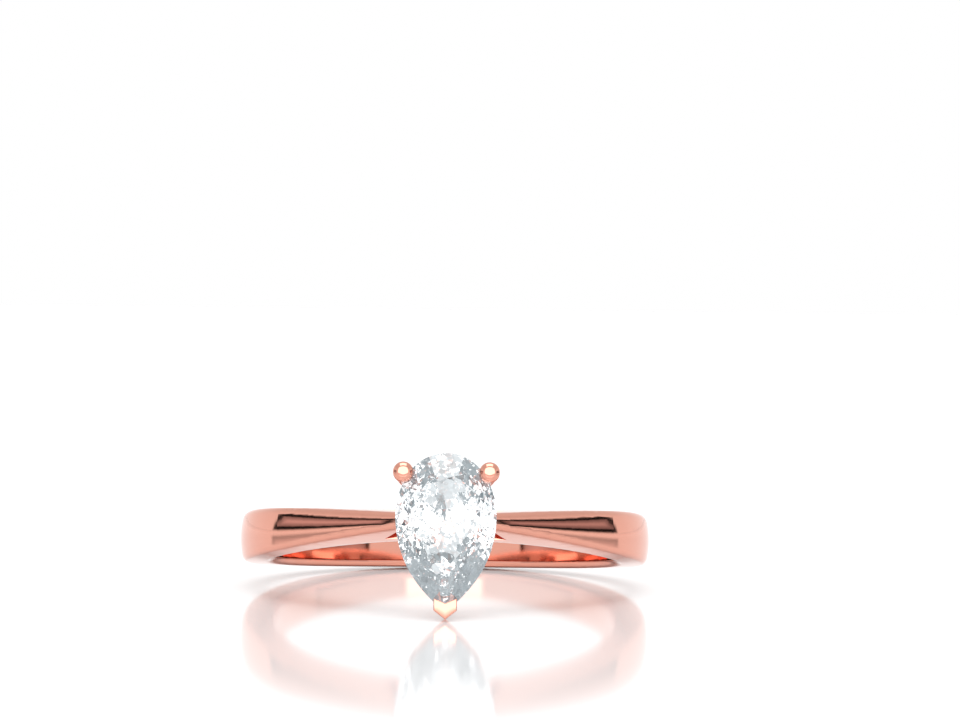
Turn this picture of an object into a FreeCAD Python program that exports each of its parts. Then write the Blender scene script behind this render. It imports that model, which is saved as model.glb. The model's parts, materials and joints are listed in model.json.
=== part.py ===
"""Solitaire engagement ring with a pear-cut stone, as a parametric assembly in millimetres.

Every piece is drawn in the ring's own frame: the finger axis is Z, the head stands towards -Y and X runs
across the ring, so that the stone's outline lies in planes parallel to XZ with its point towards -Z.
The finished pieces are then leaned back together, so that the ring lies on a table as it rests in use:
on the outer curve of its V claw at the front and on the lower edge of the band at the back.
"""
import FreeCAD, Part
import math
import os

import Sketcher

V = FreeCAD.Vector
DOC = FreeCAD.newDocument("EngagementRing")

# ---------------------------------------------------------------- driving dimensions

DIMENSIONS = {
    # band
    "finger_radius": 8.35,        # inside of the band, the ring size
    "band_thickness": 1.6,        # radial wall of the band
    "side_width": 2.3,            # widest station of the band, along the finger
    "back_width": 1.25,           # width at the back of the band
    "ridge_width": 0.66,          # width of the shoulder's crest where it meets the head
    "widest_station": -1.5,       # widest station of the band, behind the finger axis if positive
    "edge_radius": 0.28,          # rounding of the outer edges
    "comfort_radius": 0.33,       # rounding of the edges against the finger
    # shoulders
    "seam_angle": 52.0,           # where each shoulder is joined to the band, from the head
    "ridge_drop": 0.02,           # crest of the shoulder below the top of the upper rail
    "ridge_bite": 0.26,           # how far each crest runs in over the upper rail's outline
    "window_reach": 0.55,         # how far the gallery opening runs into each shoulder
    # stone
    "stone_width": 4.5,
    "stone_round": 2.8,           # widest line to the end of the round side
    "stone_tip": 4.18,            # widest line to the point
    "round_fullness": 0.89,       # radius of the round end over half the width
    "stone_station": 0.15,        # widest line above the middle of the band
    "girdle_rise": 3.4,           # middle of the girdle above the finger
    "girdle_thickness": 0.1,
    "crown_height": 0.68,
    "pavilion_depth": 1.95,
    # facets, as shares of the outline and of the heights
    "table_ratio": 0.58,
    "tip_bezel_turn": 0.74,       # the bezels beside the point, on the way from the round end to it
    "half_share": 0.3,            # an upper or lower half from its bezel, as a share of the way to the next
    "upper_half_rise": 0.62,
    "lower_half_reach": 0.24,
    "lower_half_fall": 0.8,
    "star_reach": 0.19,
    "star_drop": 0.13,
    # rails
    "seat_inset": 0.04,           # the upper rail stands inside the girdle by this much
    "seat_wall": 0.68,
    "seat_lift": 0.094,           # top of the upper rail above a straight pavilion at its inner edge
    "seat_depth": 0.87,
    "seat_chamfer": 0.24,
    "base_inset": 0.65,
    "base_wall": 0.7,
    "base_rise": 0.6,             # top of the lower rail above the finger
    "base_edge": 0.06,            # broken edge of the lower rail's top
    # claws
    "claw_diameter": 0.92,
    "claw_angle": 60.0,           # round claws, from the long axis of the stone
    "claw_offset": 0.22,          # middle of a round claw outside the girdle
    "claw_rise": 0.87,            # top of the round claws above the middle of the girdle
    "claw_dome": 0.32,            # rounding of the round claws' tops
    "vclaw_rise": 0.61,
    "vclaw_half_width": 0.515,
    "vclaw_overhang": 0.43,       # point of the V claw beyond the point of the stone
    "vclaw_depth": 0.72,          # point of the V claw to its inner corner
    "vclaw_arm": 0.53,            # length of the V claw's side faces
    "vclaw_half_angle": 52.0,
    "vclaw_edge": 0.05,           # broken edges of the V claw's top
    # blanks
    "spare": 0.4,                 # how far a blank stands beyond the cuts that finish it
}

# cells that follow from the driving ones; heights are taken from the finger axis
DERIVED = {
    "outer_radius": "finger_radius + band_thickness",
    "girdle_height": "finger_radius + girdle_rise",
    "seat_drop": "pavilion_depth * (seat_inset + seat_wall) / half_width - seat_lift",
    "seat_top": "girdle_height - seat_drop",
    "seat_bottom": "seat_top - seat_depth",
    "base_top": "finger_radius + base_rise",
    "claw_top": "girdle_height + claw_rise",
    "vclaw_top": "girdle_height + vclaw_rise",
    "reach": "claw_top + spare",
    # the stone's outline
    "half_width": "stone_width / 2",
    "round_radius": "round_fullness * half_width",
    "round_centre": "stone_round - round_radius",
    "cheek_radius": "(half_width^2 + round_centre^2 - round_radius^2) / (2 * (half_width - round_radius))",
    "wing_radius": "(stone_tip^2 + half_width^2) / stone_width",
    # the shoulders' ends
    "ridge_height": "seat_top - ridge_drop",
    "seat_x": "half_width - seat_inset",
    "ridge_half_span": "seat_x - ridge_bite",
    "window_x": "seat_x + window_reach",
    "core_x": "half_width - base_inset - base_wall",
    # the arcs that carry each claw from its top to the middle of the lower rail
    "claw_step": "claw_offset + base_inset + base_wall / 2",
    "claw_lean": "((claw_top - base_top)^2 + claw_step^2) / (2 * claw_step)",
    "base_tip": "sqrt((wing_radius - base_inset)^2 - (wing_radius - half_width)^2)",
    "vclaw_step": "vclaw_overhang + stone_tip - base_tip",
    "vclaw_lean": "((vclaw_top - base_top)^2 + vclaw_step^2) / (2 * vclaw_step)",
    "vclaw_apex": "stone_station - stone_tip - vclaw_overhang",
    # the arcs of the band's edges before and behind its widest station
    "front_run": "ridge_height + widest_station",
    "front_drop": "(side_width - ridge_width) / 2",
    "front_taper": "(front_run^2 + front_drop^2) / (2 * front_drop)",
    "back_run": "outer_radius - widest_station",
    "back_drop": "(side_width - back_width) / 2",
    "back_taper": "(back_run^2 + back_drop^2) / (2 * back_drop)",
}


def make_sheet():
    """Put every dimension in a spreadsheet cell that has the dimension's name as its alias."""
    sheet = DOC.addObject("Spreadsheet::Sheet", "dims")
    cells = {alias: str(value) for alias, value in DIMENSIONS.items()}
    cells.update({alias: "=" + formula for alias, formula in DERIVED.items()})
    for row, (alias, content) in enumerate(cells.items(), start=1):
        sheet.set("A%d" % row, alias)
        sheet.setAlias("B%d" % row, alias)
        sheet.set("B%d" % row, content)
    DOC.recompute()
    return sheet


SHEET = make_sheet()
TOUCH = 1e-4   # distances below this count as nothing


def size(alias):
    """The value of one cell of the spreadsheet."""
    return float(getattr(SHEET, alias))


REACH = size("reach")   # further than any piece of the ring from the finger axis


# ---------------------------------------------------------------- shapes shared by several pieces

class Pear:
    """The stone's outline, moved inwards: a round end, two cheeks and two wings, all tangent arcs."""

    def __init__(self, *insets):
        self.inset = sum(size(inset) for inset in insets)
        self.inset_text = "".join(" - dims." + inset for inset in insets)
        self.station = size("stone_station")
        self.half = size("half_width") - self.inset
        self.round_centre = self.station + size("round_centre")
        self.round_radius = size("round_radius") - self.inset
        self.cheek_radius = size("cheek_radius") - self.inset
        self.cheek_centre = self.cheek_radius - self.half
        self.wing_radius = size("wing_radius") - self.inset
        self.wing_centre = self.wing_radius - self.half
        self.cheek_angle = math.atan2(size("round_centre"), self.cheek_centre)
        self.tip_angle = math.acos(self.wing_centre / self.wing_radius)

    def arcs(self):
        """Centre x, centre z, radius, start angle and end angle of the five arcs, anticlockwise."""
        z = self.station
        turn = self.cheek_angle
        return [
            (0.0, self.round_centre, self.round_radius, turn, math.pi - turn),
            (-self.cheek_centre, z, self.cheek_radius, 0.0, turn),
            (self.cheek_centre, z, self.cheek_radius, math.pi - turn, math.pi),
            (self.wing_centre, z, self.wing_radius, math.pi, math.pi + self.tip_angle),
            (-self.wing_centre, z, self.wing_radius, -self.tip_angle, 0.0),
        ]

    def holds(self, point):
        """Whether a point lies inside the outline, seen along Y."""
        across = abs(point.x)
        up = point.z - self.station
        if up < 0:
            return math.hypot(across + self.wing_centre, up) < self.wing_radius
        if math.atan2(up, across + self.cheek_centre) < self.cheek_angle:
            return math.hypot(across + self.cheek_centre, up) < self.cheek_radius
        return math.hypot(across, point.z - self.round_centre) < self.round_radius


def plane(body, role):
    """One of a body's own origin planes."""
    for feature in body.Origin.OriginFeatures:
        if feature.Role == role:
            return feature
    raise ValueError("no plane " + role)


def new_sketch(body, role, name, offset=0.0, expression=None):
    """A sketch on one of the body's origin planes, moved along the plane's normal."""
    sketch = body.newObject("Sketcher::SketchObject", name)
    sketch.AttachmentSupport = [(plane(body, role), "")]
    sketch.MapMode = "FlatFace"
    sketch.AttachmentOffset = FreeCAD.Placement(V(0, 0, offset), FreeCAD.Rotation())
    if expression:
        sketch.setExpression("AttachmentOffset.Base.z", expression)
    return sketch


def constrain(sketch, kind, *where, value=None, expression=None, name=None):
    """Add one constraint, and bind it to the spreadsheet where it has an expression."""
    arguments = list(where)
    if value is not None:
        arguments.append(value)
    index = sketch.addConstraint(Sketcher.Constraint(kind, *arguments))
    if expression:
        label = name or "c%d" % index
        sketch.renameConstraint(index, label)
        sketch.setExpression("Constraints." + label, expression)
    return index


def arc(x, y, radius, start, end):
    """An arc for a sketch, by its centre, radius and end angles in radians."""
    circle = Part.Circle(V(x, y, 0), V(0, 0, 1), radius)
    return Part.ArcOfCircle(circle, start, end)


def line(x1, y1, x2, y2):
    """A straight edge for a sketch."""
    return Part.LineSegment(V(x1, y1, 0), V(x2, y2, 0))


def pear_sketch(body, name, height, *insets):
    """The stone's outline, moved inwards, on a plane that lies across the head at some height."""
    pear = Pear(*insets)
    sketch = new_sketch(body, "XZ_Plane", name, size(height), "dims." + height)
    for x, z, radius, start, end in pear.arcs():
        sketch.addGeometry(arc(x, z, radius, start, end))
    top, right_cheek, left_cheek, left_wing, right_wing = range(5)
    start, end, centre = 1, 2, 3
    constrain(sketch, "Tangent", right_cheek, end, top, start)
    constrain(sketch, "Tangent", top, end, left_cheek, start)
    constrain(sketch, "Tangent", left_cheek, end, left_wing, start)
    constrain(sketch, "Tangent", right_wing, end, right_cheek, start)
    constrain(sketch, "Coincident", left_wing, end, right_wing, start)
    constrain(sketch, "PointOnObject", top, centre, -2)
    constrain(sketch, "Equal", right_cheek, left_cheek)
    constrain(sketch, "Equal", right_wing, left_wing)
    constrain(sketch, "DistanceY", -1, 1, right_cheek, centre, value=pear.station,
              expression="dims.stone_station", name="station_cheek")
    constrain(sketch, "DistanceY", -1, 1, right_wing, centre, value=pear.station,
              expression="dims.stone_station", name="station_wing")
    constrain(sketch, "Horizontal", right_cheek, centre, left_cheek, centre)
    constrain(sketch, "DistanceX", -1, 1, right_cheek, start, value=pear.half,
              expression="dims.half_width" + pear.inset_text, name="half_width")
    constrain(sketch, "Radius", right_cheek, value=pear.cheek_radius,
              expression="dims.cheek_radius" + pear.inset_text, name="cheek")
    constrain(sketch, "Radius", right_wing, value=pear.wing_radius,
              expression="dims.wing_radius" + pear.inset_text, name="wing")
    constrain(sketch, "Radius", top, value=pear.round_radius,
              expression="dims.round_radius" + pear.inset_text, name="round")
    return sketch


def check_cut(feature, before):
    """Raise if a pocket has removed nothing from its body."""
    DOC.recompute()
    if feature.Shape.Volume >= before - TOUCH:
        raise ValueError(feature.Name + " cuts nothing")


def pad(body, sketch, name, length, expression, midplane=False, downwards=False):
    """Pad a sketch by a length from the spreadsheet."""
    feature = body.newObject("PartDesign::Pad", name)
    feature.Profile = sketch
    feature.Length = length
    feature.setExpression("Length", expression)
    feature.Midplane = midplane
    feature.Reversed = downwards
    DOC.recompute()
    return feature


def pocket_through(body, sketch, name, midplane=False, outwards=False):
    """Cut a sketch right through the body, both ways or one way."""
    before = body.Shape.Volume
    feature = body.newObject("PartDesign::Pocket", name)
    feature.Profile = sketch
    feature.Type = "ThroughAll"
    feature.Midplane = midplane
    feature.Reversed = outwards
    check_cut(feature, before)
    return feature


def round_edges(body, name, wanted, radius, expression):
    """Fillet the edges of the body's last feature that a test picks out."""
    base = body.Tip
    picked = ["Edge%d" % i for i, edge in enumerate(base.Shape.Edges, start=1) if wanted(edge)]
    if not picked:
        raise ValueError("no edges for " + name)
    feature = body.newObject("PartDesign::Fillet", name)
    feature.Base = (base, picked)
    feature.Radius = radius
    feature.setExpression("Radius", expression)
    DOC.recompute()
    return feature


# ---------------------------------------------------------------- band and shoulders

def taper_pocket(body):
    """Narrow the band along the finger: two arcs on each side, tangent at the widest station."""
    sketch = new_sketch(body, "YZ_Plane", "taper")
    station = size("widest_station")
    half_side = size("side_width") / 2
    far = size("side_width")
    for side in (1, -1):
        first = len(sketch.Geometry)
        ends = []
        for radius, end_y in ((size("front_taper"), -REACH), (size("back_taper"), REACH)):
            turn = math.asin((end_y - station) / radius)
            centre = side * (half_side - radius)
            ends.append(centre + side * radius * math.cos(turn))
            angles = sorted((side * math.pi / 2, side * (math.pi / 2 - turn)))
            sketch.addGeometry(arc(station, centre, radius, *angles))
        sketch.addGeometry(line(-REACH, ends[0], -REACH, side * far))
        sketch.addGeometry(line(-REACH, side * far, REACH, side * far))
        sketch.addGeometry(line(REACH, side * far, REACH, ends[1]))
        front_arc, back_arc, front_line, far_line, back_line = range(first, first + 5)
        # an arc of the upper side starts at its +Y end, one of the lower side at its -Y end
        left, right = (2, 1) if side > 0 else (1, 2)
        constrain(sketch, "Tangent", front_arc, right, back_arc, left)
        constrain(sketch, "Coincident", front_arc, left, front_line, 1)
        constrain(sketch, "Coincident", front_line, 2, far_line, 1)
        constrain(sketch, "Coincident", far_line, 2, back_line, 1)
        constrain(sketch, "Coincident", back_line, 2, back_arc, right)
        constrain(sketch, "Vertical", front_line)
        constrain(sketch, "Horizontal", far_line)
        constrain(sketch, "Vertical", back_line)
        signed = "" if side > 0 else "-"
        constrain(sketch, "DistanceX", -1, 1, front_arc, 3, value=station,
                  expression="dims.widest_station", name="front_station%d" % first)
        constrain(sketch, "DistanceX", -1, 1, front_arc, right, value=station,
                  expression="dims.widest_station", name="top_station%d" % first)
        constrain(sketch, "DistanceY", -1, 1, front_arc, right, value=side * half_side,
                  expression=signed + "dims.side_width / 2", name="half_side%d" % first)
        constrain(sketch, "DistanceY", -1, 1, far_line, 1, value=side * far,
                  expression=signed + "dims.side_width", name="far%d" % first)
        constrain(sketch, "DistanceX", -1, 1, front_line, 1, value=-REACH,
                  expression="-dims.reach", name="front_reach%d" % first)
        constrain(sketch, "DistanceX", -1, 1, back_line, 1, value=REACH,
                  expression="dims.reach", name="back_reach%d" % first)
        constrain(sketch, "Radius", front_arc, value=size("front_taper"),
                  expression="dims.front_taper", name="front%d" % first)
        constrain(sketch, "Radius", back_arc, value=size("back_taper"),
                  expression="dims.back_taper", name="back%d" % first)
    DOC.recompute()
    return pocket_through(body, sketch, "taper_cut", midplane=True)


def on_radius(edge, radius, centre=(0.0, 0.0)):
    """Whether an edge lies at one distance from an axis along Z, the finger axis if none is given."""
    first, last = edge.ParameterRange
    points = [edge.valueAt(first + (last - first) * step / 4) for step in range(5)]
    return all(abs(math.hypot(p.x - centre[0], p.y - centre[1]) - radius) < TOUCH for p in points)


def runs_along(edge):
    """Whether an edge runs round the ring, and not across the finger or along a radius."""
    first, last = [edge.valueAt(value) for value in edge.ParameterRange]
    return math.hypot(last.x - first.x, last.y - first.y) > TOUCH


def make_shank():
    """The band from one shoulder seam round the back to the other: a plain tapered comfort-fit band."""
    body = DOC.addObject("PartDesign::Body", "shank_body")
    inner = size("finger_radius")
    outer = size("outer_radius")
    seam = math.radians(size("seam_angle"))
    start = -math.pi / 2 + seam
    end = 3 * math.pi / 2 - seam
    sketch = new_sketch(body, "XY_Plane", "side_view")
    sketch.addGeometry(arc(0, 0, outer, start, end))
    sketch.addGeometry(arc(0, 0, inner, start, end))
    for angle in (start, end):
        across, up = math.cos(angle), math.sin(angle)
        sketch.addGeometry(line(inner * across, inner * up, outer * across, outer * up))
    constrain(sketch, "Coincident", 0, 3, -1, 1)
    constrain(sketch, "Coincident", 1, 3, -1, 1)
    constrain(sketch, "Coincident", 2, 1, 1, 1)
    constrain(sketch, "Coincident", 2, 2, 0, 1)
    constrain(sketch, "Coincident", 3, 1, 1, 2)
    constrain(sketch, "Coincident", 3, 2, 0, 2)
    constrain(sketch, "PointOnObject", -1, 1, 2)
    constrain(sketch, "Symmetric", 0, 1, 0, 2, -2)
    constrain(sketch, "Symmetric", 1, 1, 1, 2, -2)
    constrain(sketch, "Radius", 0, value=outer, name="outer", expression="dims.outer_radius")
    constrain(sketch, "Radius", 1, value=inner, name="inner", expression="dims.finger_radius")
    constrain(sketch, "Angle", -1, 1, 2, 1, value=start, name="seam",
              expression="(dims.seam_angle - 90) * 1 deg")
    pad(body, sketch, "blank", size("side_width") + size("spare"), "dims.side_width + dims.spare",
        midplane=True)
    taper_pocket(body)
    round_edges(body, "outer_edges", lambda e: on_radius(e, outer) and runs_along(e),
                size("edge_radius"), "dims.edge_radius")
    round_edges(body, "comfort_edges", lambda e: on_radius(e, inner) and runs_along(e),
                size("comfort_radius"), "dims.comfort_radius")
    return body


def shoulder_arch():
    """Centre, radius and end angles of the shoulder's outer edge: tangent to the band at the seam, and
    reaching the crest at the head."""
    seam = math.radians(size("seam_angle"))
    along = (math.sin(seam), -math.cos(seam))
    seam_out = (size("outer_radius") * along[0], size("outer_radius") * along[1])
    crest = (size("ridge_half_span"), -size("ridge_height"))
    dx, dy = crest[0] - seam_out[0], crest[1] - seam_out[1]
    radius = -(dx * dx + dy * dy) / (2 * (dx * along[0] + dy * along[1]))
    centre = (seam_out[0] - radius * along[0], seam_out[1] - radius * along[1])
    start = math.atan2(crest[1] - centre[1], crest[0] - centre[0])
    return centre, radius, start, seam - math.pi / 2


def make_shoulder():
    """The cathedral shoulder at +X: from its seam up an easy arch to the head, where an opening under the
    upper rail is cut into its end."""
    body = DOC.addObject("PartDesign::Body", "shoulder_right_body")
    inner, outer = size("finger_radius"), size("outer_radius")
    centre, radius, arch_start, arch_end = shoulder_arch()
    core, seat_x, window_x = size("core_x"), size("seat_x"), size("window_x")
    ridge, seat_bottom, base_top = size("ridge_height"), size("seat_bottom"), size("base_top")
    foot = (core, -math.sqrt(inner ** 2 - core ** 2))
    points = [(size("ridge_half_span"), -ridge), (core, -ridge), (core, -seat_bottom), (seat_x, -seat_bottom),
              (window_x, -base_top), (core, -base_top), foot]
    seam_turn = math.radians(size("seam_angle")) - math.pi / 2
    across, up = math.cos(seam_turn), math.sin(seam_turn)

    sketch = new_sketch(body, "XY_Plane", "side_view")
    sketch.addGeometry(arc(centre[0], centre[1], radius, arch_start, arch_end))
    sketch.addGeometry(arc(0, 0, inner, math.atan2(foot[1], foot[0]), seam_turn))
    sketch.addGeometry(line(inner * across, inner * up, outer * across, outer * up))
    for one, two in zip(points, points[1:]):
        sketch.addGeometry(line(one[0], one[1], two[0], two[1]))
    arch, finger, seam_line, crest_line, seat_side, ledge, window, sill, root = range(9)
    constrain(sketch, "Coincident", finger, 3, -1, 1)
    constrain(sketch, "Coincident", seam_line, 1, finger, 2)
    constrain(sketch, "Coincident", seam_line, 2, arch, 2)
    constrain(sketch, "PointOnObject", -1, 1, seam_line)
    constrain(sketch, "PointOnObject", arch, 3, seam_line)
    constrain(sketch, "Coincident", crest_line, 1, arch, 1)
    for one, two in zip(range(crest_line, root), range(seat_side, root + 1)):
        constrain(sketch, "Coincident", one, 2, two, 1)
    constrain(sketch, "Coincident", root, 2, finger, 1)
    for horizontal in (crest_line, ledge, sill):
        constrain(sketch, "Horizontal", horizontal)
    for vertical in (seat_side, root):
        constrain(sketch, "Vertical", vertical)
    constrain(sketch, "Radius", finger, value=inner, name="finger", expression="dims.finger_radius")
    constrain(sketch, "Distance", seam_line, value=outer - inner, name="wall", expression="dims.band_thickness")
    constrain(sketch, "Angle", -1, 1, seam_line, 1, value=seam_turn, name="seam",
              expression="(dims.seam_angle - 90) * 1 deg")
    constrain(sketch, "DistanceX", -1, 1, crest_line, 1, value=points[0][0], name="crest_x",
              expression="dims.ridge_half_span")
    constrain(sketch, "DistanceY", -1, 1, crest_line, 1, value=-ridge, name="crest_y",
              expression="-dims.ridge_height")
    constrain(sketch, "DistanceX", -1, 1, seat_side, 1, value=core, name="core_x", expression="dims.core_x")
    constrain(sketch, "DistanceX", -1, 1, root, 1, value=core, name="root_x", expression="dims.core_x")
    constrain(sketch, "DistanceY", -1, 1, ledge, 1, value=-seat_bottom, name="ledge_y",
              expression="-dims.seat_bottom")
    constrain(sketch, "DistanceX", -1, 1, window, 1, value=seat_x, name="ledge_x", expression="dims.seat_x")
    constrain(sketch, "DistanceX", -1, 1, window, 2, value=window_x, name="window_x",
              expression="dims.window_x")
    constrain(sketch, "DistanceY", -1, 1, window, 2, value=-base_top, name="sill_y",
              expression="-dims.base_top")
    pad(body, sketch, "blank", size("side_width") + size("spare"), "dims.side_width + dims.spare",
        midplane=True)
    taper_pocket(body)
    round_edges(body, "crest_edges", lambda e: on_radius(e, radius, centre) and runs_along(e),
                size("edge_radius"), "dims.edge_radius")
    round_edges(body, "comfort_edges", lambda e: on_radius(e, inner) and runs_along(e),
                size("comfort_radius"), "dims.comfort_radius")
    column = pear_sketch(body, "base_column", "spare", "base_inset")
    pocket_through(body, column, "base_column_cut", outwards=True)
    seat = pear_sketch(body, "seat_column", "seat_bottom", "seat_inset")
    pocket_through(body, seat, "seat_column_cut", outwards=True)
    return body


def mirrored(label, source):
    """The same piece on the other side of the ring."""
    piece = DOC.addObject("Part::Mirroring", label)
    piece.Source = source
    piece.Normal = V(1, 0, 0)
    DOC.recompute()
    return piece


SHANK = make_shank()
SHOULDER = make_shoulder()


# ---------------------------------------------------------------- stone

def half_space(point, normal):
    """A block that fills the space on the outer side of a plane, next to the stone."""
    block = Part.makeBox(4 * REACH, 4 * REACH, 4 * REACH, V(-2 * REACH, -2 * REACH, 0))
    block.Placement = FreeCAD.Placement(point, FreeCAD.Rotation(V(0, 0, 1), normal))
    return block


class Cutter:
    """Cuts facets on a pear-shaped blank, each one a plane along a tangent of the girdle.

    A turn is a place on the outline: 0 at the round end, a half at the widest line and 1 at the point, on
    the +X side if positive and on the -X side if negative.
    """

    def __init__(self, pear, girdle):
        self.pear = pear
        self.heart = V(0, -girdle, pear.station)

    def station(self, turn):
        """Point and tangent of the outline at a turn, at the height of the finger axis."""
        side = 1 if turn >= 0 else -1
        pear = self.pear
        if abs(turn) <= 0.5:
            sweep = math.pi * abs(turn)
            centre, radius = (-pear.cheek_centre, pear.station), pear.cheek_radius
            if sweep < math.pi / 2 - pear.cheek_angle:
                centre, radius = (0.0, pear.round_centre), pear.round_radius
        else:
            sweep = math.pi / 2 + pear.tip_angle * (2 * abs(turn) - 1)
            centre, radius = (-pear.wing_centre, pear.station), pear.wing_radius
        x = centre[0] + radius * math.sin(sweep)
        z = centre[1] + radius * math.cos(sweep)
        return V(side * x, 0, z), V(math.cos(sweep), 0, -side * math.sin(sweep))

    def scaled(self, turn, share, height):
        """A point at a share of the way from the stone's middle line to the outline, at a height."""
        point, _ = self.station(turn)
        middle = V(0, 0, self.pear.station)
        return middle + (point - middle) * share + V(0, -height, 0)

    def cut(self, stone, turn, target, height):
        """Cut one facet along the girdle's tangent at a turn, at a height, and through a target point."""
        point, tangent = self.station(turn)
        if abs(turn) == 1.0:
            tangent = V(1, 0, 0)
        return self.cut_plane(stone, point + V(0, -height, 0), tangent.cross(target - point - V(0, -height, 0)))

    def cut_plane(self, stone, point, normal):
        """Cut away what lies beyond a plane, seen from the stone's middle."""
        if normal.dot(point - self.heart) < 0:
            normal = normal.negative()
        return stone.cut(half_space(point, normal.normalize()))


def neighbours():
    """The eight bezels' turns in pairs, each with the next, all the way round."""
    side = size("tip_bezel_turn")
    turns = (-1.0, -side, -0.5, -0.25, 0.0, 0.25, 0.5, side, 1.0)
    return list(zip(turns, turns[1:]))


def make_stone():
    """The faceted stone: eight bezels, sixteen upper halves and eight stars over a thin girdle, and below it
    eight mains and sixteen lower halves that meet at the culet."""
    pear = Pear()
    girdle = size("girdle_height")
    upper = girdle + size("girdle_thickness") / 2
    lower = girdle - size("girdle_thickness") / 2
    table = upper + size("crown_height")
    bottom = lower - size("pavilion_depth")
    edges = []
    for x, z, radius, start, end in pear.arcs():
        circle = Part.Circle(V(x, -bottom + size("spare"), z), V(0, -1, 0), radius)
        circle.XAxis = V(1, 0, 0)
        edges.append(Part.ArcOfCircle(circle, start, end).toShape())
    outline = Part.Face(Part.Wire(Part.__sortEdges__(edges)))
    stone = outline.extrude(V(0, -(table - bottom + size("spare")), 0))
    cutter = Cutter(pear, girdle)
    ratio, share = size("table_ratio"), size("half_share")
    culet = V(0, -bottom, pear.station)
    for turn, _ in neighbours():
        stone = cutter.cut(stone, turn, cutter.scaled(turn, ratio, table), upper)
        stone = cutter.cut(stone, turn, culet, lower)
    for one, two in neighbours():
        for turn in (one + (two - one) * share, two - (two - one) * share):
            rise = upper + size("crown_height") * size("upper_half_rise")
            stone = cutter.cut(stone, turn, cutter.scaled(turn, (1 + ratio) / 2, rise), upper)
            fall = lower - size("pavilion_depth") * size("lower_half_fall")
            stone = cutter.cut(stone, turn, cutter.scaled(turn, size("lower_half_reach"), fall), lower)
    for one, two in neighbours():
        left, right = cutter.scaled(one, ratio, table), cutter.scaled(two, ratio, table)
        outer = cutter.scaled((one + two) / 2, ratio + size("star_reach"), table - size("star_drop"))
        stone = cutter.cut_plane(stone, left, (right - left).cross(outer - left))
    return stone.removeSplitter()


STONE = DOC.addObject("Part::Feature", "pear_diamond")
STONE.Shape = make_stone()


# ---------------------------------------------------------------- rails

def at_height(edge, height):
    """Whether an edge lies flat across the head at one height."""
    first, last = edge.ParameterRange
    return all(abs(edge.valueAt(value).y + height) < TOUCH for value in (first, (first + last) / 2, last))


def middle_of(edge):
    """The point halfway along an edge."""
    first, last = edge.ParameterRange
    return edge.valueAt((first + last) / 2)


def make_seat_rail():
    """The upper rail that the stone's pavilion sits in, with a bevelled inner edge."""
    body = DOC.addObject("PartDesign::Body", "seat_rail_body")
    outer = pear_sketch(body, "outer", "seat_bottom", "seat_inset")
    pad(body, outer, "blank", size("seat_depth"), "dims.seat_depth")
    inner = pear_sketch(body, "inner", "seat_bottom", "seat_inset", "seat_wall")
    bore = pocket_through(body, inner, "bore", outwards=True)
    within = Pear("seat_inset", "seat_chamfer")
    chamfer = body.newObject("PartDesign::Chamfer", "seat")
    chamfer.Base = (bore, ["Edge%d" % i for i, edge in enumerate(bore.Shape.Edges, start=1)
                           if at_height(edge, size("seat_top")) and within.holds(middle_of(edge))])
    chamfer.Size = size("seat_chamfer")
    chamfer.setExpression("Size", "dims.seat_chamfer")
    DOC.recompute()
    return body


def make_base_rail():
    """The lower rail: a smaller pear-shaped ring whose underside follows the finger."""
    body = DOC.addObject("PartDesign::Body", "base_rail")
    outline = pear_sketch(body, "outer", "base_top", "base_inset")
    pad(body, outline, "blank", size("base_rise") + size("spare"), "dims.base_rise + dims.spare",
        downwards=True)
    hole = pear_sketch(body, "inner", "base_top", "base_inset", "base_wall")
    pocket_through(body, hole, "bore")
    finger = new_sketch(body, "XY_Plane", "finger")
    finger.addGeometry(Part.Circle(V(0, 0, 0), V(0, 0, 1), size("finger_radius")))
    constrain(finger, "Coincident", 0, 3, -1, 1)
    constrain(finger, "Radius", 0, value=size("finger_radius"), name="finger", expression="dims.finger_radius")
    pocket_through(body, finger, "finger_cut", midplane=True)
    within = Pear("base_inset", "base_edge")
    round_edges(body, "edges", lambda e: at_height(e, size("base_top")) and not within.holds(middle_of(e)),
                size("base_edge"), "dims.base_edge")
    return body


# ---------------------------------------------------------------- claws

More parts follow.
